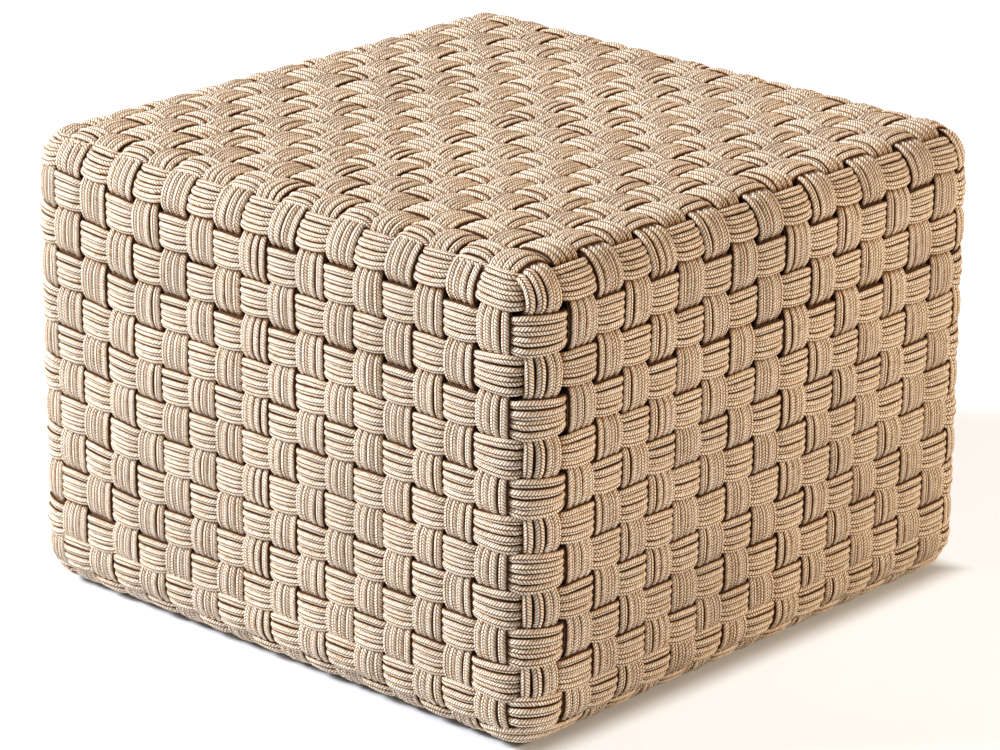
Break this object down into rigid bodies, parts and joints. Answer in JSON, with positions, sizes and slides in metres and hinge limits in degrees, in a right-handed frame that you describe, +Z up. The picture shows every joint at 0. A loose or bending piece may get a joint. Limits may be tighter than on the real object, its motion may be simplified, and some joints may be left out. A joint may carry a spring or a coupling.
{
  "type": "outdoor footstool",
  "caption": "Square outdoor footstool: flat bands of beige braided rope in a plain weave over the top and sides of a brown tube frame, open underneath, on small moulded feet.",
  "frame": {"origin": "on the floor, under the middle of the footstool", "axes": "+Z up, +X to the right, +Y to the back; the picture looks at the front (-Y) and right (+X) sides from above"},
  "size_m": [0.508, 0.508, 0.36],
  "materials": {
    "rope": "matt braided beige outdoor rope",
    "tube": "satin reddish-brown powder coat",
    "foot": "matt dark moulded plastic"
  },
  "bodies": {
    "root": {"rope_band_front_back_01": "rope", "rope_band_front_back_02": "rope", "rope_band_front_back_03": "rope", "rope_band_front_back_04": "rope", "rope_band_front_back_05": "rope", "rope_band_front_back_06": "rope", "rope_band_front_back_07": "rope", "rope_band_front_back_08": "rope", "rope_band_front_back_09": "rope", "rope_band_front_back_10": "rope", "rope_band_front_back_11": "rope", "rope_band_front_back_12": "rope", "rope_band_front_back_13": "rope", "rope_band_front_back_14": "rope", "rope_band_front_back_15": "rope", "rope_band_front_back_16": "rope", "rope_band_front_back_17": "rope", "rope_band_side_side_01": "rope", "rope_band_side_side_02": "rope", "rope_band_side_side_03": "rope", "rope_band_side_side_04": "rope", "rope_band_side_side_05": "rope", "rope_band_side_side_06": "rope", "rope_band_side_side_07": "rope", "rope_band_side_side_08": "rope", "rope_band_side_side_09": "rope", "rope_band_side_side_10": "rope", "rope_band_side_side_11": "rope", "rope_band_side_side_12": "rope", "rope_band_side_side_13": "rope", "rope_band_side_side_14": "rope", "rope_band_side_side_15": "rope", "rope_band_side_side_16": "rope", "rope_band_side_side_17": "rope", "rope_band_round_01": "rope", "rope_band_round_02": "rope", "rope_band_round_03": "rope", "rope_band_round_04": "rope", "rope_band_round_05": "rope", "rope_band_round_06": "rope", "rope_band_round_07": "rope", "rope_band_round_08": "rope", "rope_band_round_09": "rope", "rope_band_round_10": "rope", "rope_band_round_11": "rope", "rope_band_round_12": "rope", "rope_band_round_13": "rope", "top_hoop": "tube", "bottom_hoop": "tube", "corner_post_back_right": "tube", "corner_post_back_left": "tube", "corner_post_front_left": "tube", "corner_post_front_right": "tube", "foot_back_right": "foot", "foot_back_left": "foot", "foot_front_left": "foot", "foot_front_right": "foot"}
  },
  "joints": []
}
